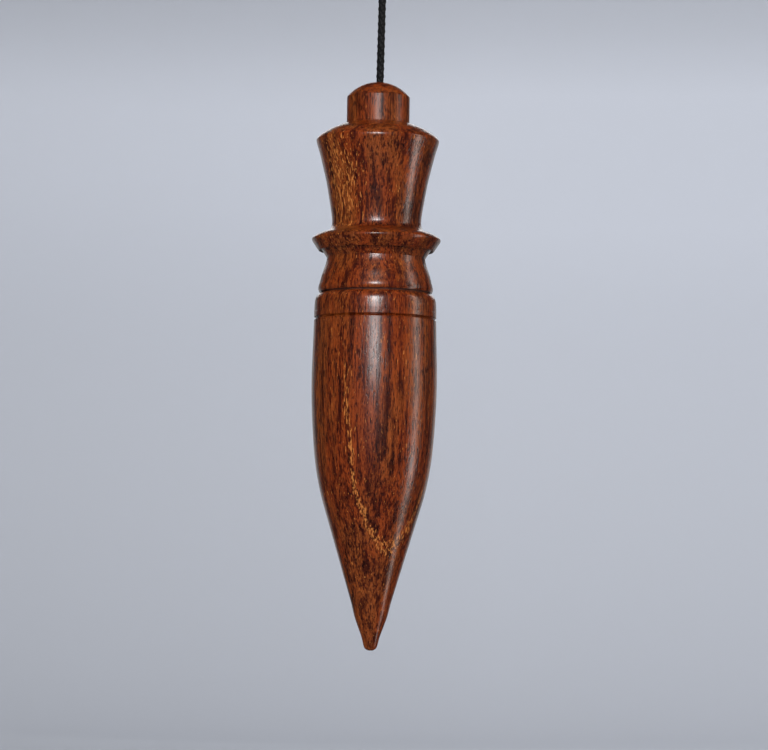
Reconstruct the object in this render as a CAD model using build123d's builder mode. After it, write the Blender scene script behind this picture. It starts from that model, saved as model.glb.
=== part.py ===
from build123d import *
import math
import os

os.makedirs("parts", exist_ok=True)

# Frame: millimetres, +Z up, the origin at the inner top of the hanging loop.
# Heights named H_... are first counted upwards from the tip of the bob.

# ---------------------------------------------------------------- cord
CORD_R = 0.85
LOOP_DROP = 20.0
LOOP_FORK_DROP = 14.5
LOOP_SIDE_DROP = 5.6
LOOP_HALF_WIDTH = 6.7
LOOP_TOP_HALF_RUN = 3.5
RUN_SHARE = 0.45
LEG_HALF_GAP = 0.9
LOOP_KNOT_WRAPS = 3
STOPPER_WRAPS = 2
WRAP_RADIUS = 1.75
STOPPER_WRAP_RADIUS = 1.35
WRAP_PITCH = 1.7
TAIL_LENGTH = 4.0
TAIL_OFFSET = 2.1
STOPPER_TAIL_LENGTH = 2.0
LINE_EXPOSED = 23.0

# ---------------------------------------------------------------- outside of the bob
BOB_LENGTH = 120.0
DOME_EDGE_R = 6.63
H_DOME_EDGE = 116.85
EDGE_BREAK = 0.45
H_CAP_SEAT = 111.15
SHOULDER_TOP_R = 6.75
SHOULDER_RIM_R = 12.9
H_SHOULDER_RIM = 107.66
CUP_WAIST_R = 9.4
H_CUP_WAIST = 90.2
COLLAR_RIM_R = 13.58
H_COLLAR_RIM = 86.42
COLLAR_FOOT_R = 10.36
H_COLLAR_FOOT = 82.45
SKIRT_EDGE_R = 12.08
H_HEAD_SEAT = 75.25
SEAL_THICK = 0.3
H_BODY_TOP = H_HEAD_SEAT - SEAL_THICK
BAND_R = 12.88
H_SCRIBE = 69.59
SCRIBE_DEPTH = 0.45
SCRIBE_HALF_WIDTH = 0.34
BELLY_R = 13.2
H_BELLY = 56.6
CONE_TOP_R = 10.44
H_CONE_TOP = 30.9
CONE_END_R = 4.25
H_CONE_END = 10.2

# ---------------------------------------------------------------- cap and its screw
CORD_HOLE_R = 1.15
CORD_HOLE_ROUND = 0.5
CAP_SOCKET_DEPTH = 3.5
SPIGOT_SHANK_R = 3.7
SPIGOT_BORE_R = 2.9
SPIGOT_LENGTH = 6.5
CAP_PITCH = 1.0
CAP_CORE_R = 3.95
CAP_CREST_R = 4.4
CAP_INSERT_R = 5.6
CAP_INSERT_LENGTH = 6.1
CAP_SEAL_THICK = 0.5
CAP_SEAL_INNER_R = 4.7
CAP_SEAL_OUTER_R = 5.8
SEAL_FIT = 0.1
KNOT_PLATE_R = 2.6
KNOT_PLATE_HOLE_R = 0.95
KNOT_PLATE_THICK = 0.5
HEAD_WELL_R = 4.6
HEAD_WELL_DEPTH = 5.0

# ---------------------------------------------------------------- head stud and body insert
STUD_SHANK_R = 6.0
STUD_SHANK_LENGTH = 10.0
STUD_FLANGE_R = 7.2
STUD_SCREW_LENGTH = 8.8
STUD_SLOT_WIDTH = 1.4
STUD_SLOT_DEPTH = 1.2
STUD_PITCH = 1.5
STUD_CORE_R = 7.2
STUD_CREST_R = 7.85
BODY_INSERT_R = 10.0
BODY_INSERT_LENGTH = 9.0
SEAL_INNER_R = 8.3
SEAL_OUTER_R = 11.45

# ---------------------------------------------------------------- ballast
WELL_R = 6.3
H_WELL_FLOOR = 27.0
PAD_R = 6.2
LOWER_PAD_THICK = 2.0
BALLAST_R = 6.0
BALLAST_LENGTH = 34.0
BALLAST_CHAMFER = 0.5

# ---------------------------------------------------------------- thread form
THREAD_CLEARANCE = 0.12
ROOT_HALF_WIDTH = 0.40
CREST_HALF_WIDTH = 0.12
AXIAL_CLEARANCE = 0.10
RIDGE_SINK = 0.25

# ---------------------------------------------------------------- heights in the part's frame
KNOT_HEIGHT = LOOP_KNOT_WRAPS * WRAP_PITCH
H_LOOP_KNOT_BOTTOM = BOB_LENGTH + LINE_EXPOSED
H_LOOP_KNOT_TOP = H_LOOP_KNOT_BOTTOM + KNOT_HEIGHT
H_ORIGIN = H_LOOP_KNOT_TOP + LOOP_DROP
H_CAP_CEILING = H_CAP_SEAT + CAP_SOCKET_DEPTH
H_STOPPER_TOP = H_CAP_CEILING - KNOT_PLATE_THICK
H_STUD_END = H_HEAD_SEAT - STUD_SCREW_LENGTH
H_CAP_INSERT_TOP = H_CAP_SEAT - CAP_SEAL_THICK
H_CAP_INSERT_BOTTOM = H_CAP_INSERT_TOP - CAP_INSERT_LENGTH
H_BODY_INSERT_BOTTOM = H_BODY_TOP - BODY_INSERT_LENGTH
H_BALLAST_BOTTOM = H_WELL_FLOOR + LOWER_PAD_THICK
H_BALLAST_TOP = H_BALLAST_BOTTOM + BALLAST_LENGTH


def z(height):
    """Height above the tip as a Z in the part's frame."""
    return height - H_ORIGIN


def at(radius, height):
    """A profile point: radius, then height above the tip."""
    return (radius, z(height))


def ring_points(inner, outer, low, high):
    """Corners of a washer-shaped section."""
    return [at(inner, low), at(outer, low), at(outer, high), at(inner, high)]


def half_width(radius, core, crest, pitch):
    """Half the axial width of a male thread ridge at a radius."""
    share = (radius - core) / (crest - core)
    return pitch * (ROOT_HALF_WIDTH - share * (ROOT_HALF_WIDTH - CREST_HALF_WIDTH))


def male_section(core, crest, pitch):
    """Section of a male ridge, sunk a little into its core."""
    sunk = core - RIDGE_SINK
    root = half_width(sunk, core, crest, pitch)
    top = half_width(crest, core, crest, pitch)
    return [(sunk, -root), (crest, -top), (crest, top), (sunk, root)]


def female_section(core, crest, pitch):
    """Section of the ridge that stands in the male thread's groove."""
    inner = core + THREAD_CLEARANCE
    sunk = crest + THREAD_CLEARANCE + RIDGE_SINK
    free = pitch * (0.5 - AXIAL_CLEARANCE)
    narrow = free - half_width(inner, core, crest, pitch)
    wide = free - half_width(sunk, core, crest, pitch)
    return [(inner, -narrow), (sunk, -wide), (sunk, wide), (inner, narrow)]


def thread_ridge(section, pitch, radius, low, turns):
    """One right-hand helical ridge whose first section is centred at height low."""
    with BuildPart() as ridge:
        with BuildLine() as path:
            Helix(pitch=pitch, height=pitch * turns, radius=radius, center=(0, 0, z(low)))
        with BuildSketch(Plane.XZ):
            with BuildLine():
                Polyline(*[(r, z(low) + offset) for r, offset in section], close=True)
            make_face()
        sweep(path=path.line, is_frenet=True)
    return ridge.part


def wrap_bulges(wraps, centre_radius, top):
    """Height and radius of the middle of each turn of a knot."""
    return [(centre_radius, z(top) - WRAP_PITCH * (turn + 0.5)) for turn in range(wraps)]


def save(piece, label):
    """Name a finished piece and write its file."""
    piece.part.label = label
    export_step(piece.part, "parts/" + label + ".step")


# ---------------------------------------------------------------- hanging loop
LOOP_LEFT_SIDE = [
    (-LEG_HALF_GAP, -LOOP_DROP),
    (-LEG_HALF_GAP, -LOOP_FORK_DROP),
    (-LOOP_HALF_WIDTH, -LOOP_SIDE_DROP),
    (-LOOP_TOP_HALF_RUN, CORD_R),
]
LOOP_ROUTE = LOOP_LEFT_SIDE + [(-x, height) for x, height in reversed(LOOP_LEFT_SIDE)]


def corner_radii(route):
    """As large an arc at each corner of a route as its two runs allow."""
    radii = []
    for before, corner, after in zip(route, route[1:], route[2:]):
        run_in = Vector(*corner) - Vector(*before)
        run_out = Vector(*after) - Vector(*corner)
        half_turn = math.radians(run_in.get_angle(run_out)) / 2
        radii.append(RUN_SHARE * min(run_in.length, run_out.length) / math.tan(half_turn))
    return radii


LOOP_RADII = corner_radii(LOOP_ROUTE)
with BuildPart() as hanging_loop:
    with BuildLine(Plane.XZ) as loop_path:
        FilletPolyline(*LOOP_ROUTE, radius=LOOP_RADII)
    with BuildSketch(Plane.XY.offset(-LOOP_DROP)):
        with Locations((-LEG_HALF_GAP, 0)):
            Circle(CORD_R)
    sweep(path=loop_path.wires()[0])
save(hanging_loop, "hanging_loop")

# ---------------------------------------------------------------- loop knot
with BuildPart() as loop_knot:
    with BuildSketch(Plane.XZ):
        with BuildLine():
            Polyline(
                *ring_points(0, WRAP_RADIUS, H_LOOP_KNOT_BOTTOM, H_LOOP_KNOT_TOP),
                close=True,
            )
        make_face()
        with Locations(*wrap_bulges(LOOP_KNOT_WRAPS, WRAP_RADIUS, H_LOOP_KNOT_TOP)):
            Circle(WRAP_PITCH / 2)
    revolve(axis=Axis.Z)
    with BuildSketch(Plane.XY.offset(z(H_LOOP_KNOT_BOTTOM) + CORD_R)):
        with Locations((TAIL_OFFSET, 0)):
            Circle(CORD_R)
    extrude(amount=-(TAIL_LENGTH + CORD_R))
save(loop_knot, "loop_knot")

# ---------------------------------------------------------------- line
with BuildPart() as line:
    with BuildSketch(Plane.XY.offset(z(H_STOPPER_TOP))):
        Circle(CORD_R)
    extrude(amount=H_LOOP_KNOT_BOTTOM - H_STOPPER_TOP)
save(line, "line")

# ---------------------------------------------------------------- stopper knot
with BuildPart() as stopper_knot:
    with BuildSketch(Plane.XZ):
        with BuildLine():
            Polyline(
                *ring_points(
                    0, STOPPER_WRAP_RADIUS, H_STOPPER_TOP - STOPPER_WRAPS * WRAP_PITCH, H_STOPPER_TOP
                ),
                close=True,
            )
        make_face()
        with Locations(*wrap_bulges(STOPPER_WRAPS, STOPPER_WRAP_RADIUS, H_STOPPER_TOP)):
            Circle(WRAP_PITCH / 2)
    revolve(axis=Axis.Z)
    with BuildSketch(Plane.XY.offset(z(H_STOPPER_TOP - STOPPER_WRAPS * WRAP_PITCH) + CORD_R)):
        Circle(CORD_R)
    extrude(amount=-(STOPPER_TAIL_LENGTH + CORD_R))
save(stopper_knot, "stopper_knot")

# ---------------------------------------------------------------- plate that the stopper knot pulls against
with BuildPart() as knot_plate:
    with BuildSketch(Plane.XY.offset(z(H_STOPPER_TOP))):
        Circle(KNOT_PLATE_R)
        Circle(KNOT_PLATE_HOLE_R, mode=Mode.SUBTRACT)
    extrude(amount=KNOT_PLATE_THICK)
save(knot_plate, "knot_plate")

# ---------------------------------------------------------------- cap
DOME_RISE = BOB_LENGTH - H_DOME_EDGE
DOME_R = (DOME_EDGE_R ** 2 + DOME_RISE ** 2) / (2 * DOME_RISE)
H_HOLE_MOUTH = BOB_LENGTH - DOME_R + math.sqrt(DOME_R ** 2 - CORD_HOLE_R ** 2)
with BuildPart() as cap:
    with BuildSketch(Plane.XZ) as cap_section:
        with BuildLine():
            Polyline(
                at(CORD_HOLE_R, H_HOLE_MOUTH),
                at(CORD_HOLE_R, H_CAP_CEILING),
                at(SPIGOT_SHANK_R, H_CAP_CEILING),
                at(SPIGOT_SHANK_R, H_CAP_SEAT),
                at(DOME_EDGE_R, H_CAP_SEAT),
                at(DOME_EDGE_R, H_DOME_EDGE),
            )
            RadiusArc(at(DOME_EDGE_R, H_DOME_EDGE), at(CORD_HOLE_R, H_HOLE_MOUTH), -DOME_R)
        make_face()
        outer_corners = cap_section.vertices().group_by(Axis.X)[-1]
        fillet(outer_corners.sort_by(Axis.Y)[-1], EDGE_BREAK)
        fillet(cap_section.vertices().sort_by(Axis.Y)[-1], CORD_HOLE_ROUND)
    revolve(axis=Axis.Z)
save(cap, "cap")

# ---------------------------------------------------------------- cap spigot
cap_screw_ridge = thread_ridge(
    male_section(CAP_CORE_R, CAP_CREST_R, CAP_PITCH),
    CAP_PITCH,
    CAP_CREST_R,
    H_CAP_SEAT - SPIGOT_LENGTH + CAP_PITCH,
    turns=4,
)
with BuildPart() as cap_spigot:
    with BuildSketch(Plane.XZ):
        with BuildLine():
            Polyline(
                at(SPIGOT_BORE_R, H_CAP_SEAT - SPIGOT_LENGTH),
                at(CAP_CORE_R, H_CAP_SEAT - SPIGOT_LENGTH),
                at(CAP_CORE_R, H_CAP_SEAT),
                at(SPIGOT_SHANK_R, H_CAP_SEAT),
                at(SPIGOT_SHANK_R, H_CAP_CEILING),
                at(SPIGOT_BORE_R, H_CAP_CEILING),
                close=True,
            )
        make_face()
    revolve(axis=Axis.Z)
    add(cap_screw_ridge, clean=False)
save(cap_spigot, "cap_spigot")

# ---------------------------------------------------------------- leather seal under the cap
with BuildPart() as cap_seal:
    with BuildSketch(Plane.XY.offset(z(H_CAP_INSERT_TOP))):
        Circle(CAP_SEAL_OUTER_R)
        Circle(CAP_SEAL_INNER_R, mode=Mode.SUBTRACT)
    extrude(amount=CAP_SEAL_THICK)
save(cap_seal, "cap_seal")

# ---------------------------------------------------------------- head
with BuildPart() as head:
    with BuildSketch(Plane.XZ):
        with BuildLine():
            Line(at(0, H_CAP_SEAT), at(SHOULDER_TOP_R, H_CAP_SEAT))
            Spline(
                at(SHOULDER_TOP_R, H_CAP_SEAT),
                at(8.35, 110.52),
                at(10.3, 109.68),
                at(11.9, 108.66),
                at(SHOULDER_RIM_R, H_SHOULDER_RIM),
                at(12.7, 106.3),
                at(11.48, 101.8),
                at(10.68, 98.4),
                at(10.07, 95.0),
                at(9.61, 92.2),
                at(CUP_WAIST_R, H_CUP_WAIST),
                at(9.53, 89.12),
                tangents=[(1, -0.3), (0.35, -1)],
            )
            Spline(
                at(9.53, 89.12),
                at(9.95, 88.42),
                at(11.3, 87.82),
                at(12.8, 87.2),
                at(COLLAR_RIM_R, H_COLLAR_RIM),
                at(13.22, 85.62),
                at(12.05, 84.03),
                at(COLLAR_FOOT_R, H_COLLAR_FOOT),
                tangents=[(0.35, -1), (-0.6, -1)],
            )
            Spline(
                at(COLLAR_FOOT_R, H_COLLAR_FOOT),
                at(10.8, 80.54),
                at(11.4, 78.84),
                at(11.85, 77.1),
                at(SKIRT_EDGE_R, 75.7),
                at(11.9, H_HEAD_SEAT),
                tangents=[(0.1, -1), (-0.6, -1)],
            )
            Line(at(11.9, H_HEAD_SEAT), at(0, H_HEAD_SEAT))
            Line(at(0, H_HEAD_SEAT), at(0, H_CAP_SEAT))
        make_face()
    revolve(axis=Axis.Z)
    with BuildSketch(Plane.XZ):
        with BuildLine():
            Polyline(
                at(0, H_CAP_SEAT),
                at(CAP_SEAL_OUTER_R + SEAL_FIT, H_CAP_SEAT),
                at(CAP_SEAL_OUTER_R + SEAL_FIT, H_CAP_INSERT_TOP),
                at(CAP_INSERT_R, H_CAP_INSERT_TOP),
                at(CAP_INSERT_R, H_CAP_INSERT_BOTTOM),
                at(HEAD_WELL_R, H_CAP_INSERT_BOTTOM),
                at(HEAD_WELL_R, H_CAP_INSERT_BOTTOM - HEAD_WELL_DEPTH),
                at(0, H_CAP_INSERT_BOTTOM - HEAD_WELL_DEPTH),
                close=True,
            )
        make_face()
    revolve(axis=Axis.Z, mode=Mode.SUBTRACT)
    with BuildSketch(Plane.XY.offset(z(H_HEAD_SEAT))):
        Circle(STUD_SHANK_R)
    extrude(amount=STUD_SHANK_LENGTH, mode=Mode.SUBTRACT)
save(head, "head")

# ---------------------------------------------------------------- threaded insert for the cap
cap_insert_ridge = thread_ridge(
    female_section(CAP_CORE_R, CAP_CREST_R, CAP_PITCH),
    CAP_PITCH,
    CAP_CREST_R,
    H_CAP_SEAT - SPIGOT_LENGTH + 0.5 * CAP_PITCH,
    turns=4.9,
)
with BuildPart() as head_insert:
    with BuildSketch(Plane.XY.offset(z(H_CAP_INSERT_BOTTOM))):
        Circle(CAP_INSERT_R)
        Circle(CAP_CREST_R + THREAD_CLEARANCE, mode=Mode.SUBTRACT)
    extrude(amount=CAP_INSERT_LENGTH)
    add(cap_insert_ridge, clean=False)
save(head_insert, "head_insert")

# ---------------------------------------------------------------- stud under the head
stud_ridge = thread_ridge(
    male_section(STUD_CORE_R, STUD_CREST_R, STUD_PITCH),
    STUD_PITCH,
    STUD_CREST_R,
    H_STUD_END + STUD_PITCH,
    turns=4,
)
with BuildPart() as head_stud:
    with BuildSketch(Plane.XY.offset(z(H_STUD_END))):
        Circle(STUD_CORE_R)
    extrude(amount=STUD_SCREW_LENGTH)
    with BuildSketch(Plane.XY.offset(z(H_HEAD_SEAT))):
        Circle(STUD_SHANK_R)
    extrude(amount=STUD_SHANK_LENGTH)
    with BuildSketch(Plane.XY.offset(z(H_STUD_END))):
        Rectangle(2 * STUD_CREST_R, STUD_SLOT_WIDTH)
    extrude(amount=STUD_SLOT_DEPTH, mode=Mode.SUBTRACT)
    add(stud_ridge, clean=False)
save(head_stud, "head_stud")

# ---------------------------------------------------------------- leather seal between head and body
with BuildPart() as body_seal:
    with BuildSketch(Plane.XY.offset(z(H_BODY_TOP))):
        Circle(SEAL_OUTER_R)
        Circle(SEAL_INNER_R, mode=Mode.SUBTRACT)
    extrude(amount=SEAL_THICK)
save(body_seal, "body_seal")

# ---------------------------------------------------------------- body
with BuildPart() as body:
    with BuildSketch(Plane.XZ):
        with BuildLine():
            Line(at(0, H_BODY_TOP), at(11.55, H_BODY_TOP))
            Spline(
                at(11.55, H_BODY_TOP),
                at(12.2, 74.56),
                at(12.58, 73.9),
                at(12.8, 72.9),
                at(BAND_R, 71.0),
                at(BAND_R, H_SCRIBE + SCRIBE_HALF_WIDTH),
                tangents=[(1, -0.25), (0, -1)],
            )
            Polyline(
                at(BAND_R, H_SCRIBE + SCRIBE_HALF_WIDTH),
                at(BAND_R - SCRIBE_DEPTH, H_SCRIBE),
                at(BAND_R, H_SCRIBE - SCRIBE_HALF_WIDTH),
            )
            Spline(
                at(BAND_R, H_SCRIBE - SCRIBE_HALF_WIDTH),
                at(13.02, 64.0),
                at(BELLY_R, H_BELLY),
                at(12.8, 45.9),
                at(11.7, 36.3),
                at(CONE_TOP_R, H_CONE_TOP),
                tangents=[(0.02, -1), (CONE_END_R - CONE_TOP_R, H_CONE_END - H_CONE_TOP)],
            )
            Line(at(CONE_TOP_R, H_CONE_TOP), at(CONE_END_R, H_CONE_END))
            Spline(
                at(CONE_END_R, H_CONE_END),
                at(3.51, 7.27),
                at(2.94, 5.6),
                at(2.3, 3.9),
                at(1.76, 2.25),
                at(1.45, 1.0),
                at(1.1, 0.38),
                at(0.6, 0.06),
                at(0, 0),
                tangents=[(CONE_END_R - CONE_TOP_R, H_CONE_END - H_CONE_TOP), (-1, 0)],
            )
            Line(at(0, 0), at(0, H_BODY_TOP))
        make_face()
    revolve(axis=Axis.Z)
    with BuildSketch(Plane.XZ):
        with BuildLine():
            Polyline(
                at(0, H_BODY_TOP),
                at(BODY_INSERT_R, H_BODY_TOP),
                at(BODY_INSERT_R, H_BODY_INSERT_BOTTOM),
                at(WELL_R, H_BODY_INSERT_BOTTOM),
                at(WELL_R, H_WELL_FLOOR),
                at(0, H_WELL_FLOOR),
                close=True,
            )
        make_face()
    revolve(axis=Axis.Z, mode=Mode.SUBTRACT)
save(body, "body")

# ---------------------------------------------------------------- threaded insert in the body
body_insert_ridge = thread_ridge(
    female_section(STUD_CORE_R, STUD_CREST_R, STUD_PITCH),
    STUD_PITCH,
    STUD_CREST_R,
    H_STUD_END + 0.5 * STUD_PITCH,
    turns=4.5,
)
with BuildPart() as body_insert:
    with BuildSketch(Plane.XY.offset(z(H_BODY_INSERT_BOTTOM))):
        Circle(BODY_INSERT_R)
        Circle(STUD_CREST_R + THREAD_CLEARANCE, mode=Mode.SUBTRACT)
    extrude(amount=BODY_INSERT_LENGTH)
    add(body_insert_ridge, clean=False)
save(body_insert, "body_insert")

# ---------------------------------------------------------------- ballast between two cork pads
with BuildPart() as lower_pad:
    with BuildSketch(Plane.XY.offset(z(H_WELL_FLOOR))):
        Circle(PAD_R)
    extrude(amount=LOWER_PAD_THICK)
save(lower_pad, "lower_pad")

with BuildPart() as ballast:
    with BuildSketch(Plane.XY.offset(z(H_BALLAST_BOTTOM))):
        Circle(BALLAST_R)
    extrude(amount=BALLAST_LENGTH)
    chamfer(ballast.edges().filter_by(GeomType.CIRCLE), BALLAST_CHAMFER)
save(ballast, "ballast")

with BuildPart() as upper_pad:
    with BuildSketch(Plane.XY.offset(z(H_BALLAST_TOP))):
        Circle(PAD_R)
    extrude(amount=H_STUD_END - H_BALLAST_TOP)
save(upper_pad, "upper_pad")

# ---------------------------------------------------------------- figures for the report
section_area = math.pi * CORD_R ** 2
loop_length = sum(edge.length for edge in loop_path.edges())
line_length = H_LOOP_KNOT_BOTTOM - H_STOPPER_TOP
print("origin above the tip", round(H_ORIGIN, 2), "dome radius", round(DOME_R, 3))
print("loop length", round(loop_length, 2), "corner radii", [round(r, 2) for r in LOOP_RADII])
print("loop solid over section times length",
      round(hanging_loop.part.volume / (section_area * loop_length), 4))
print("line length", round(line_length, 2), "solid over section times length",
      round(line.part.volume / (section_area * line_length), 4))
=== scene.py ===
import bpy
import math
import numpy as np
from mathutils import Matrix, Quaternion, Vector


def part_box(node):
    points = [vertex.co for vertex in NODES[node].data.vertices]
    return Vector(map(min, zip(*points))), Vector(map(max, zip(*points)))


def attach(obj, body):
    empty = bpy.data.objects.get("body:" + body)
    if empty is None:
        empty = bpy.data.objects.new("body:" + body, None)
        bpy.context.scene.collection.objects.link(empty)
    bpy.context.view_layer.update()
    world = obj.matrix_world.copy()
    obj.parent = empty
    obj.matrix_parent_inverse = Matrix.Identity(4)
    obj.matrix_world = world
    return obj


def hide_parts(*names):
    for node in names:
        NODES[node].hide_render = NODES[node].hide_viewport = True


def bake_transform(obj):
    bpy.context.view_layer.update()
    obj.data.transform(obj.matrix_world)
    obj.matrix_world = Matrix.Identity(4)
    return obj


# A turned, lacquered hardwood plumb bob hanging on a braided cord.
# Metres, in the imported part's frame: +Z up, the origin at the inner top of the hanging loop.

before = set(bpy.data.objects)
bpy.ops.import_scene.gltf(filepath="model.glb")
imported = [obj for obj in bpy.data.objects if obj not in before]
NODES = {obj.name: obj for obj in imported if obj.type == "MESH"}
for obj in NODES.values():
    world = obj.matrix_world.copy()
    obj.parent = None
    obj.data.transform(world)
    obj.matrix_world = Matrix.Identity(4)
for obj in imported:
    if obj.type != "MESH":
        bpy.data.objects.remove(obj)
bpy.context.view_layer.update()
MM = 0.001

# ---------------------------------------------------------------- sizes
CORD_R = 0.85 * MM
LOOP_DROP = 20.0 * MM
INTO_LOOP_KNOT = 0.9 * MM
INTO_STOPPER = 0.8 * MM
LOOP_ROUTE = [
    (-0.0009, 0.0, -0.0200 - INTO_LOOP_KNOT),
    (-0.0009, 0.0, -0.0145),
    (-0.0067, 0.0, -0.0056),
    (-0.0035, 0.0, 0.00085),
    (0.0035, 0.0, 0.00085),
    (0.0067, 0.0, -0.0056),
    (0.0009, 0.0, -0.0145),
    (0.0009, 0.0, -0.0200 - INTO_LOOP_KNOT),
]
KNOT_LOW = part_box("line")[1].z
KNOT_HIGH = -LOOP_DROP
CROWN_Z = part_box("cap")[1].z
STOPPER_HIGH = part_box("line")[0].z
TIP = Vector((0, 0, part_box("body")[0].z))
LEAN = 0.30 * MM

# ---------------------------------------------------------------- mesh helpers


def new_object(name, vertices, faces, uvs=None):
    """A smooth mesh object from vertices and faces, with one UV per face corner if given."""
    mesh = bpy.data.meshes.new(name)
    mesh.from_pydata([tuple(v) for v in vertices], [], faces)
    if uvs is not None:
        layer = mesh.uv_layers.new(name="UVMap")
        flat = np.array([uvs[loop.vertex_index] for loop in mesh.loops], float).ravel()
        layer.data.foreach_set("uv", flat)
    mesh.polygons.foreach_set("use_smooth", [True] * len(mesh.polygons))
    mesh.update()
    obj = bpy.data.objects.new(name, mesh)
    bpy.context.scene.collection.objects.link(obj)
    return obj


def nurbs_line(points, spacing):
    """Evenly spaced points along the smooth NURBS spline through a route."""
    curve = bpy.data.curves.new("route", "CURVE")
    curve.dimensions = "3D"
    curve.resolution_u = 32
    spline = curve.splines.new("NURBS")
    spline.points.add(len(points) - 1)
    for point, co in zip(spline.points, points):
        point.co = (*co, 1)
    spline.order_u = 3
    spline.use_endpoint_u = True
    holder = bpy.data.objects.new("route", curve)
    bpy.context.scene.collection.objects.link(holder)
    mesh = bpy.data.meshes.new_from_object(holder)
    line = np.array([v.co[:] for v in mesh.vertices])
    bpy.data.objects.remove(holder)
    bpy.data.curves.remove(curve)
    bpy.data.meshes.remove(mesh)
    steps = np.linalg.norm(np.diff(line, axis=0), axis=1)
    along = np.concatenate([[0], np.cumsum(steps)])
    count = max(2, int(round(along[-1] / spacing)) + 1)
    wanted = np.linspace(0, along[-1], count)
    return np.stack([np.interp(wanted, along, line[:, axis]) for axis in range(3)], axis=1)


def frames_along(line):
    """Two unit normals at every point of a line, carried along without twist."""
    tangents = np.gradient(line, axis=0)
    tangents /= np.linalg.norm(tangents, axis=1)[:, None]
    first = np.cross(tangents[0], (0.0, 1.0, 0.0))
    if np.linalg.norm(first) < 0.1:
        first = np.cross(tangents[0], (1.0, 0.0, 0.0))
    normal = first / np.linalg.norm(first)
    normals = []
    for tangent in tangents:
        normal = normal - tangent * np.dot(normal, tangent)
        normal = normal / np.linalg.norm(normal)
        normals.append(normal)
    normals = np.array(normals)
    return tangents, normals, np.cross(tangents, normals)


# ---------------------------------------------------------------- braided cord
STRANDS_EACH_WAY = 4
BRAID_PITCH = 6.4 * MM
STRAND_ORBIT = 0.56 * MM
STRAND_WEAVE = 0.11 * MM
STRAND_HALF_WIDTH = 0.37 * MM
STRAND_HALF_THICK = 0.175 * MM
STRAND_SIDES = 8
CORE_R = 0.52 * MM
RING_SPACING = 0.13 * MM


def tube_faces(rings, sides, start):
    faces = []
    for ring in range(rings - 1):
        low = start + ring * sides
        for side in range(sides):
            beside = (side + 1) % sides
            faces.append((low + side, low + beside, low + sides + beside, low + sides + side))
    faces.append(tuple(start + side for side in reversed(range(sides))))
    faces.append(tuple(start + (rings - 1) * sides + side for side in range(sides)))
    return faces


def braid(name, line, sealed_ends=()):
    """A round braid of eight flat strands on a core, along a line. sealed_ends are 0, -1 or both."""
    tangents, normals, binormals = frames_along(line)
    steps = np.linalg.norm(np.diff(line, axis=0), axis=1)
    along = np.concatenate([[0], np.cumsum(steps)])
    turn = 2 * math.pi * along / BRAID_PITCH
    vertices = []
    uvs = []
    faces = []
    for way in (1, -1):
        for strand in range(STRANDS_EACH_WAY):
            angle = way * turn + 2 * math.pi * strand / STRANDS_EACH_WAY
            orbit = STRAND_ORBIT + way * STRAND_WEAVE * np.cos(STRANDS_EACH_WAY * turn)
            out = np.cos(angle)[:, None] * normals + np.sin(angle)[:, None] * binormals
            centre = line + orbit[:, None] * out
            run = np.gradient(centre, axis=0)
            run /= np.linalg.norm(run, axis=1)[:, None]
            flat = np.cross(run, out)
            flat /= np.linalg.norm(flat, axis=1)[:, None]
            start = sum(len(v) for v in vertices)
            ring = []
            for side in range(STRAND_SIDES):
                around = 2 * math.pi * side / STRAND_SIDES
                offset = (
                    STRAND_HALF_WIDTH * math.cos(around) * flat
                    + STRAND_HALF_THICK * math.sin(around) * out
                )
                ring.append(centre + offset)
            vertices.append(np.stack(ring, axis=1).reshape(-1, 3))
            for distance in along:
                for side in range(STRAND_SIDES):
                    uvs.append((distance / MM, math.cos(2 * math.pi * side / STRAND_SIDES)))
            faces += tube_faces(len(line), STRAND_SIDES, start)
    start = sum(len(v) for v in vertices)
    core = []
    for side in range(STRAND_SIDES):
        around = 2 * math.pi * side / STRAND_SIDES
        core.append(line + CORE_R * (math.cos(around) * normals + math.sin(around) * binormals))
    vertices.append(np.stack(core, axis=1).reshape(-1, 3))
    uvs += [(0.0, 0.0)] * (len(line) * STRAND_SIDES)
    faces += tube_faces(len(line), STRAND_SIDES, start)
    for end in sealed_ends:
        outward = tangents[end] * (1 if end == -1 else -1)
        add_seal(vertices, uvs, faces, line[end], outward, normals[end], binormals[end])
    return new_object(name, np.concatenate(vertices), faces, uvs)


SEAL_RINGS = 6
SEAL_SIDES = 20
SEAL_R = 0.84 * MM
SEAL_DEPTH = 0.55 * MM


def add_seal(vertices, uvs, faces, centre, outward, normal, binormal):
    """The melted, slightly lumpy end of a cut synthetic cord."""
    start = sum(len(v) for v in vertices)
    rings = []
    for ring in range(SEAL_RINGS + 1):
        angle = -0.35 * math.pi + 0.85 * math.pi * ring / SEAL_RINGS
        radius = max(SEAL_R * math.cos(angle), 0.02 * MM)
        height = SEAL_DEPTH * math.sin(angle)
        for side in range(SEAL_SIDES):
            around = 2 * math.pi * side / SEAL_SIDES
            lump = 1 + 0.05 * math.sin(3 * around + ring) + 0.03 * math.sin(5 * around)
            spoke = math.cos(around) * normal + math.sin(around) * binormal
            rings.append(centre + outward * height + spoke * radius * lump)
            uvs.append((0.0, 0.0))
    vertices.append(np.array(rings))
    faces += tube_faces(SEAL_RINGS + 1, SEAL_SIDES, start)


def wrapped_route(low, high, wraps, radius, tail, tail_side):
    """Tail, then turns rising round the cord, then a tuck into the middle."""
    per_turn = 12
    points = [
        (tail_side, -0.15 * MM, low - tail),
        (tail_side, -0.05 * MM, low - 0.45 * tail),
        (radius, 0.35 * MM, low + 0.15 * MM),
    ]
    first = low + CORD_R
    last = high - CORD_R
    count = int(per_turn * wraps)
    for step in range(2, count):
        angle = 2 * math.pi * step / per_turn
        height = first + (last - first) * step / count
        points.append((radius * math.cos(angle), radius * math.sin(angle), height))
    points.append((0.55 * radius, -0.3 * radius, last - 0.1 * MM))
    points.append((0.1 * radius, 0.0, last - 0.9 * MM))
    return points


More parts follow.
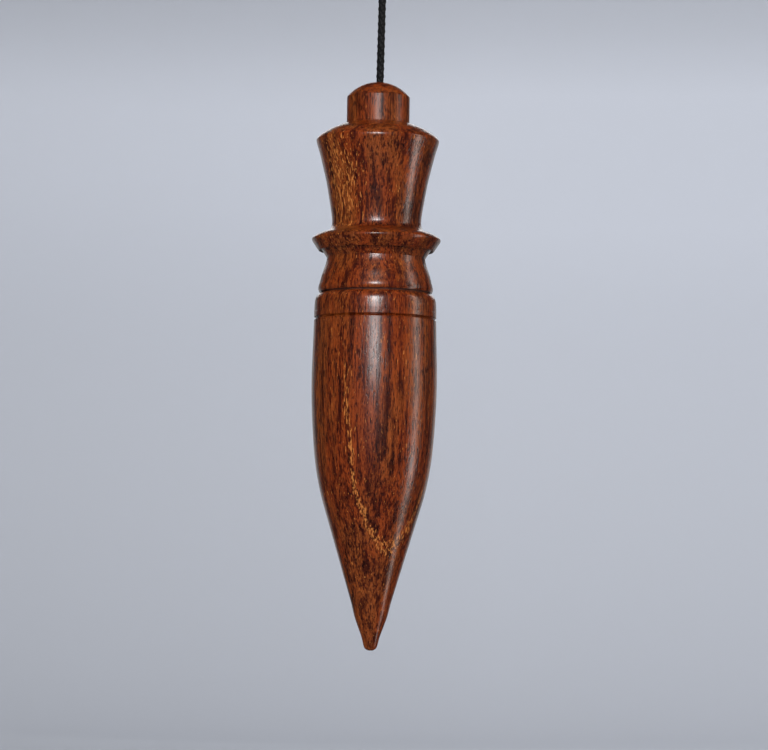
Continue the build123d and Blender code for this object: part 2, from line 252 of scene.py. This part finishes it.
line_route = [
    (0.5 * LEAN, 0.0, STOPPER_HIGH - INTO_STOPPER),
    (LEAN, 0.0, CROWN_Z),
    (2 * LEAN, 0.0, KNOT_LOW + INTO_LOOP_KNOT),
]
line_path = nurbs_line(line_route, RING_SPACING)
line_cord = braid("line_braid", line_path)

loop_path = nurbs_line(LOOP_ROUTE, RING_SPACING)
loop_cord = braid("loop_braid", loop_path)

# wraps, wrap radius, length of the cut tail and its distance from the axis
LOOP_KNOT_SHAPE = (3, 1.72 * MM, 4.0 * MM, 2.1 * MM)
STOPPER_SHAPE = (2, 1.33 * MM, 1.6 * MM, 0.0)
STOPPER_HEIGHT = 3.4 * MM

loop_knot_path = nurbs_line(wrapped_route(KNOT_LOW, KNOT_HIGH, *LOOP_KNOT_SHAPE), RING_SPACING)
loop_knot = braid("loop_knot_braid", loop_knot_path, sealed_ends=(0,))

stopper_low = STOPPER_HIGH - STOPPER_HEIGHT
stopper_path = nurbs_line(wrapped_route(stopper_low, STOPPER_HIGH, *STOPPER_SHAPE), RING_SPACING)
stopper_knot = braid("stopper_knot_braid", stopper_path, sealed_ends=(0,))

# ---------------------------------------------------------------- material helpers


class Shader:
    """A few short words for building a node tree."""

    def __init__(self, name):
        self.material = bpy.data.materials.new(name)
        self.material.use_nodes = True
        self.tree = self.material.node_tree
        self.tree.nodes.clear()
        self.out = self.tree.nodes.new("ShaderNodeOutputMaterial")
        self.surface = self.tree.nodes.new("ShaderNodeBsdfPrincipled")
        self.link(self.surface.outputs[0], self.out.inputs["Surface"])

    def link(self, source, target):
        self.tree.links.new(source, target)

    def node(self, kind, inputs=None, **settings):
        made = self.tree.nodes.new("ShaderNode" + kind)
        for key, value in settings.items():
            setattr(made, key, value)
        for key, value in (inputs or {}).items():
            self.put(made.inputs[key], value)
        return made

    def put(self, socket, value):
        if isinstance(value, bpy.types.NodeSocket):
            self.link(value, socket)
        else:
            socket.default_value = value

    def set(self, **inputs):
        for key, value in inputs.items():
            self.put(self.surface.inputs[key.replace("_", " ")], value)

    def math(self, operation, a, b=0.0, clamp=False):
        made = self.node("Math", {0: a, 1: b}, operation=operation, use_clamp=clamp)
        return made.outputs[0]

    def add(self, a, b):
        return self.math("ADD", a, b)

    def times(self, a, b):
        return self.math("MULTIPLY", a, b)

    def object_mm(self):
        """Object coordinates in millimetres."""
        coord = self.node("TexCoord")
        scaled = self.node("VectorMath", {0: coord.outputs["Object"]}, operation="SCALE")
        scaled.inputs["Scale"].default_value = 1 / MM
        return scaled.outputs[0]

    def stretch(self, vector, scale, rotation=(0, 0, 0), offset=(0, 0, 0)):
        made = self.node("Mapping", {"Vector": vector})
        made.inputs["Scale"].default_value = scale
        made.inputs["Rotation"].default_value = rotation
        made.inputs["Location"].default_value = offset
        return made.outputs[0]

    def noise(self, vector, detail=2.0, roughness=0.5, distortion=0.0, scale=1.0):
        made = self.node("TexNoise", {"Vector": vector, "Scale": scale, "Detail": detail,
                                      "Roughness": roughness, "Distortion": distortion})
        return made.outputs["Fac"]

    def noise_1d(self, value, detail=1.0, roughness=0.5, scale=1.0):
        made = self.node("TexNoise", noise_dimensions="1D")
        self.put(made.inputs["W"], value)
        self.put(made.inputs["Scale"], scale)
        self.put(made.inputs["Detail"], detail)
        self.put(made.inputs["Roughness"], roughness)
        return made.outputs["Fac"]

    def ramp(self, value, low, high, to_low=0.0, to_high=1.0, smooth=True):
        made = self.node("MapRange", {"Value": value, "From Min": low, "From Max": high,
                                      "To Min": to_low, "To Max": to_high})
        made.interpolation_type = "SMOOTHSTEP" if smooth else "LINEAR"
        return made.outputs[0]

    def mix(self, factor, a, b):
        made = self.node("Mix", data_type="RGBA")
        self.put(made.inputs[0], factor)
        self.put(made.inputs[6], a)
        self.put(made.inputs[7], b)
        return made.outputs[2]

    def bump(self, height, strength, distance):
        made = self.node("Bump", {"Height": height, "Strength": strength, "Distance": distance})
        return made.outputs[0]


def rgb(r, g, b):
    """An sRGB colour in 0 to 255 as a linear one."""
    linear = []
    for part in (r, g, b):
        share = part / 255
        linear.append(share / 12.92 if share <= 0.04045 else ((share + 0.055) / 1.055) ** 2.4)
    return (*linear, 1.0)


# ---------------------------------------------------------------- wood
LAYER_AZIMUTH = math.radians(27)
LAYER_RADIUS = 60.0
LAYER_SLANT = 0.033
LAYER_LEVEL = 22.0
LINE_FADE = (66.0, 52.0)
# distance from the axis, half width (both in millimetres) and strength of each pale growth line
GROWTH_LINES = ((7.75, 0.70, 1.0), (-3.5, 0.5, 0.5), (-8.6, 0.8, 0.8))
FLECKED_SPOT = (-8.0, -7.5, 97.0)
FLECKED_SPOT_SIZE = (6.5, 6.5, 15.0)
BAND_SHARE = 0.60
FIBRE_SHARE = 1.15
STREAK_SHARE = 0.75
MOTTLE_SHARE = 0.80
TONE_RANGE = (1.42, 1.84)
LINE_LIFT = 0.18
SPOT_LIFT = 0.12
GRAIN_RELIEF = 0.06 * MM
FILM_RELIEF = 0.08 * MM
DRY_RELIEF = 0.1 * MM


def growth_layers(s, place):
    """Distance through the growth layers, slightly curved and wavy."""
    turned = s.stretch(place, (1, 1, 1), rotation=(0, 0, -LAYER_AZIMUTH))
    parts = s.node("SeparateXYZ", {0: turned})
    across, depth = parts.outputs[0], parts.outputs[1]
    above = s.add(parts.outputs[2], -LAYER_LEVEL - TIP.z / MM)
    curve = s.times(s.times(across, across), 1 / (2 * LAYER_RADIUS))
    wave = s.noise(s.stretch(place, (0.09, 0.09, 0.030)), detail=2.0)
    ripple = s.noise(s.stretch(place, (0.5, 0.5, 0.10)), detail=2.0)
    layer = s.add(s.times(depth, -1.0), curve)
    layer = s.add(layer, s.times(above, -LAYER_SLANT))
    layer = s.add(layer, s.times(s.add(wave, -0.5), 2.4))
    return s.add(layer, s.times(s.add(ripple, -0.5), 1.1))


def closeness(s, place, layer):
    """1 on a pale growth line, falling to 0 beside it and higher up."""
    near = 0.0
    for distance, half, strength in GROWTH_LINES:
        off = s.math("ABSOLUTE", s.add(layer, -distance))
        near = s.math("MAXIMUM", near, s.ramp(off, half, 0.15 * half, to_high=strength))
    height = s.add(s.node("SeparateXYZ", {0: place}).outputs[2], -TIP.z / MM)
    return s.times(near, s.ramp(height, *LINE_FADE))


def flecked_spot(s, place):
    """1 inside the part of the cup that is full of pale flecks."""
    east, north, above_tip = FLECKED_SPOT
    centre = (east, north, above_tip + TIP.z / MM)
    from_spot = s.node("VectorMath", {0: place, 1: centre}, operation="SUBTRACT")
    scaled = s.node("VectorMath", {0: from_spot.outputs[0], 1: FLECKED_SPOT_SIZE}, operation="DIVIDE")
    reach = s.node("VectorMath", {0: scaled.outputs[0]}, operation="LENGTH")
    return s.ramp(reach.outputs["Value"], 1.25, 0.35)


def wood(name, lacquered, film_weight=0.85, film_roughness=0.23):
    s = Shader(name)
    place = s.object_mm()
    layer = growth_layers(s, place)

    # broad bands, fine fibres and long streaks of colour
    bands = s.noise_1d(layer, detail=3.0, roughness=0.6, scale=0.55)
    fibres = s.noise(s.stretch(place, (2.9, 2.9, 0.13)), detail=4.0, roughness=0.72)
    streaks = s.noise(s.stretch(place, (0.85, 0.85, 0.055), offset=(3, 7, 1)), detail=3.0)
    tone = s.add(s.times(bands, BAND_SHARE), s.times(fibres, FIBRE_SHARE))
    mottle = s.noise(s.stretch(place, (3.4, 3.4, 1.0), offset=(1, 9, 4)), detail=2.0, roughness=0.6)
    tone = s.add(tone, s.add(s.times(streaks, STREAK_SHARE), s.times(mottle, MOTTLE_SHARE)))
    tone = s.ramp(tone, *TONE_RANGE, smooth=False)
    warm = s.ramp(s.noise(s.stretch(place, (0.22, 0.22, 0.035), offset=(6, 2, 5)), detail=2.0), 0.38, 0.62)
    dark = s.mix(warm, rgb(52, 10, 3), rgb(50, 12, 3))
    light = s.mix(warm, rgb(114, 46, 11), rgb(116, 56, 19))
    colour = s.mix(tone, dark, light)
    deep = s.ramp(streaks, 0.48, 0.34)
    colour = s.mix(s.times(deep, 0.70), colour, rgb(38, 8, 3))

    # pale short cells, dense on each growth line and in one spot
    cells = s.noise(s.stretch(place, (3.3, 3.3, 0.55), offset=(11, 5, 2)), detail=2.0, roughness=0.55)
    on_line = s.times(closeness(s, place, layer), LINE_LIFT)
    level = s.add(on_line, s.times(flecked_spot(s, place), SPOT_LIFT))
    flecks = s.ramp(s.add(cells, level), 0.65, 0.74)
    colour = s.mix(s.times(flecks, 0.80), colour, rgb(172, 104, 46))

    # dark pores drawn out along the grain
    pores = s.noise(s.stretch(place, (3.0, 3.0, 0.55), offset=(2, 3, 8)), detail=2.0, roughness=0.5)
    crowd = s.noise(s.stretch(place, (0.20, 0.20, 0.07), offset=(7, 1, 3)), detail=1.0)
    pore = s.ramp(s.add(pores, s.times(s.add(crowd, -0.5), -0.22)), 0.47, 0.35)
    colour = s.mix(s.times(pore, 0.80), colour, rgb(28, 6, 3))

    relief = s.add(s.times(pore, -1.0), s.times(fibres, 0.5))
    if lacquered:
        under = s.bump(relief, 0.35, GRAIN_RELIEF)
        swell = s.noise(place, detail=1.0, scale=0.5)
        film = s.bump(s.add(s.times(pore, -0.9), s.times(swell, 0.8)), 0.14, FILM_RELIEF)
        s.set(Base_Color=colour, Roughness=0.32, Normal=under)
        s.set(Coat_Weight=film_weight, Coat_Roughness=film_roughness, Coat_IOR=1.5, Coat_Normal=film)
        s.set(IOR=1.45, Specular_IOR_Level=0.06)
    else:
        dry = s.mix(0.35, colour, rgb(150, 92, 48))
        s.set(Base_Color=dry, Roughness=0.78, Normal=s.bump(relief, 0.6, DRY_RELIEF))
    return s.material


# ---------------------------------------------------------------- cord, brass, leather, felt


def black_braid():
    s = Shader("black_braid")
    uv = s.node("TexCoord").outputs["UV"]
    filaments = s.noise(s.stretch(uv, (0.35, 9.0, 1.0)), detail=2.0)
    fuzz = s.noise(s.object_mm(), detail=3.0, scale=2.2)
    colour = s.mix(s.ramp(filaments, 0.35, 0.7), rgb(3, 3, 4), rgb(14, 14, 16))
    s.set(Base_Color=colour, Roughness=0.55, Sheen_Weight=0.02, Sheen_Roughness=0.4)
    s.set(Specular_IOR_Level=0.3)
    s.set(Normal=s.bump(s.add(filaments, s.times(fuzz, 0.3)), 0.6, 0.00006))
    return s.material


def turned_brass():
    s = Shader("turned_brass")
    place = s.object_mm()
    tool_marks = s.noise(s.stretch(place, (0.25, 0.25, 9.0)), detail=2.0)
    tarnish = s.noise(place, detail=4.0, scale=0.35)
    colour = s.mix(s.ramp(tarnish, 0.45, 0.75), rgb(214, 178, 104), rgb(150, 112, 62))
    s.set(Base_Color=colour, Metallic=1.0)
    s.set(Roughness=s.ramp(tarnish, 0.3, 0.8, 0.22, 0.42, smooth=False))
    s.set(Normal=s.bump(tool_marks, 0.25, 0.00004))
    return s.material


def dark_leather():
    s = Shader("dark_leather")
    place = s.object_mm()
    grain = s.node("TexVoronoi", {"Vector": place, "Scale": 3.0}, feature="DISTANCE_TO_EDGE")
    worn = s.noise(place, detail=4.0, scale=0.8)
    colour = s.mix(s.ramp(worn, 0.35, 0.7), rgb(44, 18, 10), rgb(78, 34, 18))
    s.set(Base_Color=colour, Roughness=0.66)
    s.set(Normal=s.bump(s.ramp(grain.outputs[0], 0.0, 0.12), 0.5, 0.00005))
    return s.material


def wool_felt():
    s = Shader("wool_felt")
    place = s.object_mm()
    fibre = s.noise(s.stretch(place, (5.0, 5.0, 5.0)), detail=5.0, roughness=0.7, distortion=1.5)
    colour = s.mix(s.ramp(fibre, 0.3, 0.7), rgb(112, 104, 90), rgb(178, 170, 152))
    s.set(Base_Color=colour, Roughness=0.95, Sheen_Weight=0.5, Sheen_Roughness=0.6)
    s.set(Normal=s.bump(fibre, 0.8, 0.00012))
    return s.material


LACQUERED = wood("lacquered_wood", True)
CAP_WOOD = wood("cap_wood", True, film_weight=0.45, film_roughness=0.32)
BARE = wood("bare_wood", False)
CORD = black_braid()
BRASS = turned_brass()
LEATHER = dark_leather()
FELT = wool_felt()


def dress(obj, *materials):
    obj.data.materials.clear()
    for material in materials:
        obj.data.materials.append(material)


for name in ("cap_spigot", "head_insert", "head_stud", "body_insert", "knot_plate", "ballast"):
    dress(NODES[name], BRASS)
for name in ("cap_seal", "body_seal"):
    dress(NODES[name], LEATHER)
for name in ("lower_pad", "upper_pad"):
    dress(NODES[name], FELT)
for piece in (line_cord, loop_cord, loop_knot, stopper_knot):
    dress(piece, CORD)

# the bores and the two seats of each wooden piece are bare, the rest is lacquered
BORE_R = {"cap": 3.8 * MM, "head": 6.15 * MM, "body": 10.1 * MM}
for name, bore in BORE_R.items():
    obj = NODES[name]
    dress(obj, CAP_WOOD if name == "cap" else LACQUERED, BARE)
    low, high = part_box(name)
    for polygon in obj.data.polygons:
        centre = polygon.center
        off_axis = math.hypot(centre.x, centre.y)
        inward = polygon.normal.x * centre.x + polygon.normal.y * centre.y < -0.2 * off_axis
        inside = off_axis < bore and (inward or abs(polygon.normal.z) > 0.999)
        polygon.material_index = 1 if inside else 0

# ---------------------------------------------------------------- what moves with what
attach(stopper_knot, "line_body")
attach(loop_knot, "knot_body")
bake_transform(line_cord)
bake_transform(loop_cord)
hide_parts("line")
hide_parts("hanging_loop")
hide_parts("loop_knot")
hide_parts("stopper_knot")

# ---------------------------------------------------------------- camera
CAMERA_DISTANCE = 0.7557
CAMERA_PITCH = math.radians(4.38)
CAMERA_YAW = math.radians(0.154)
CAMERA_ROLL = math.radians(0.833)
FOCAL_PX = 3600.0
IMAGE_WIDTH_PX = 768
SENSOR = 36.0

camera_data = bpy.data.cameras.new("camera")
camera_data.sensor_width = SENSOR
camera_data.sensor_fit = "HORIZONTAL"
camera_data.lens = FOCAL_PX * SENSOR / IMAGE_WIDTH_PX
camera_data.clip_start = 0.01
camera = bpy.data.objects.new("camera", camera_data)
bpy.context.scene.collection.objects.link(camera)
camera.location = TIP + Vector((0, -CAMERA_DISTANCE, 0))
forward = Vector((math.sin(CAMERA_YAW), math.cos(CAMERA_YAW), math.tan(CAMERA_PITCH))).normalized()
level = forward.to_track_quat("-Z", "Y")
camera.rotation_mode = "QUATERNION"
camera.rotation_quaternion = level
camera.rotation_quaternion.rotate(Quaternion(forward, -CAMERA_ROLL))
bpy.context.scene.camera = camera

# ---------------------------------------------------------------- studio
FLOOR_DROP = 0.06
ROOM_R = 1.7
ROOM_H = 1.5
COVE_R = 0.35
ROOM_SIDES = 96
COVE_STEPS = 12
# painted shade on the backdrop, darker towards the floor, high up and to the left: from and to (metres
# above the tip, or sideways), then the painted shade at each
FLOOR_PAINTED_SHADE = (-0.06, 0.30, 0.86, 1.0)
MIDDLE_PAINTED_SHADE = (0.20, 0.35, 0.93, 1.0)
HIGH_PAINTED_SHADE = (0.36, 0.46, 1.0, 0.76)
SIDE_PAINTED_SHADE = (-0.26, 0.08, 0.90, 1.03)

floor_z = TIP.z - FLOOR_DROP
profile = [(0.0, floor_z), (ROOM_R - COVE_R, floor_z)]
for step in range(1, COVE_STEPS + 1):
    angle = 0.5 * math.pi * step / COVE_STEPS
    profile.append((ROOM_R - COVE_R + COVE_R * math.sin(angle), floor_z + COVE_R * (1 - math.cos(angle))))
profile.append((ROOM_R, floor_z + ROOM_H))
room_vertices = []
room_faces = []
for radius, height in profile:
    for side in range(ROOM_SIDES):
        angle = 2 * math.pi * side / ROOM_SIDES
        room_vertices.append((radius * math.cos(angle), radius * math.sin(angle), height))
for ring in range(len(profile) - 1):
    for side in range(ROOM_SIDES):
        beside = (side + 1) % ROOM_SIDES
        a, b = ring * ROOM_SIDES + side, ring * ROOM_SIDES + beside
        room_faces.append((b, a, a + ROOM_SIDES, b + ROOM_SIDES))
room = new_object("room", room_vertices, room_faces)
room.visible_glossy = False
# the backdrop is one pale paper colour with painted shade: brightest in a level band about 0.35 m above
# the tip, darker towards the floor, darker higher up, darker to the left and a little brighter to the
# right
painted_shade_paper = Shader("painted_shade_paper")
wall = painted_shade_paper.node("SeparateXYZ", {0: painted_shade_paper.node("TexCoord").outputs["Object"]})
wall_z = painted_shade_paper.add(wall.outputs[2], -TIP.z)
painted_shade = painted_shade_paper.ramp(wall_z, *FLOOR_PAINTED_SHADE, smooth=False)
painted_shade = painted_shade_paper.times(painted_shade, painted_shade_paper.ramp(wall_z, *MIDDLE_PAINTED_SHADE))
painted_shade = painted_shade_paper.times(painted_shade, painted_shade_paper.ramp(wall_z, *HIGH_PAINTED_SHADE))
painted_shade = painted_shade_paper.times(painted_shade, painted_shade_paper.ramp(wall.outputs[0], *SIDE_PAINTED_SHADE, smooth=False))
painted_shade_paper.set(Base_Color=painted_shade_paper.mix(painted_shade, rgb(0, 0, 0), rgb(213, 217, 225)), Roughness=0.95)
dress(room, painted_shade_paper.material)


# colours of the lamps
WHITE = (1.0, 1.0, 1.0)
WARM = (1.0, 0.87, 0.78)


def softbox(
    name, azimuth, elevation, distance, width, height, power,
    colour=WHITE, glossy=True, diffuse=True,
):
    """A rectangular light that faces the middle of the bob."""
    middle = Vector((0, 0, (TIP.z + CROWN_Z) / 2))
    a, e = math.radians(azimuth), math.radians(elevation)
    toward = Vector((math.sin(a) * math.cos(e), -math.cos(a) * math.cos(e), math.sin(e)))
    data = bpy.data.lights.new(name, "AREA")
    data.shape = "RECTANGLE"
    data.size = width
    data.size_y = height
    data.energy = power
    data.color = colour
    lamp = bpy.data.objects.new(name, data)
    bpy.context.scene.collection.objects.link(lamp)
    lamp.location = middle + toward * distance
    lamp.rotation_mode = "QUATERNION"
    lamp.rotation_quaternion = (-toward).to_track_quat("-Z", "Y")
    lamp.visible_camera = False
    lamp.visible_glossy = glossy
    lamp.visible_diffuse = diffuse


# strips seen as highlights, panels seen only in the edges, and soft light seen in nothing
softbox("front_strip", -1, 17, 1.30, 0.36, 0.54, 6.6)
softbox("front_core", -1, 19.5, 1.30, 0.24, 0.25, 5.0)
softbox("side_strip", 84, 0, 1.25, 0.24, 1.75, 6.8, colour=WARM)
softbox("side_core", 84, -11, 1.24, 0.30, 0.22, 0.6)
softbox("back_glow", 180, 0, 1.40, 1.7, 0.50, 1.2, diffuse=False)
softbox("back_high", 180, 19, 1.40, 1.2, 0.3, 1.8, diffuse=False)
softbox("overhead", 0, 88, 1.40, 2.4, 2.4, 22.0, glossy=False)
softbox("front_fill", -12, 18, 1.45, 1.6, 1.4, 14.0, glossy=False)

world = bpy.data.worlds.new("world")
world.use_nodes = True
world.node_tree.nodes["Background"].inputs[0].default_value = (0.9, 0.93, 1.0, 1)
world.node_tree.nodes["Background"].inputs[1].default_value = 0.03
bpy.context.scene.world = world
bpy.context.scene.view_settings.view_transform = "Standard"
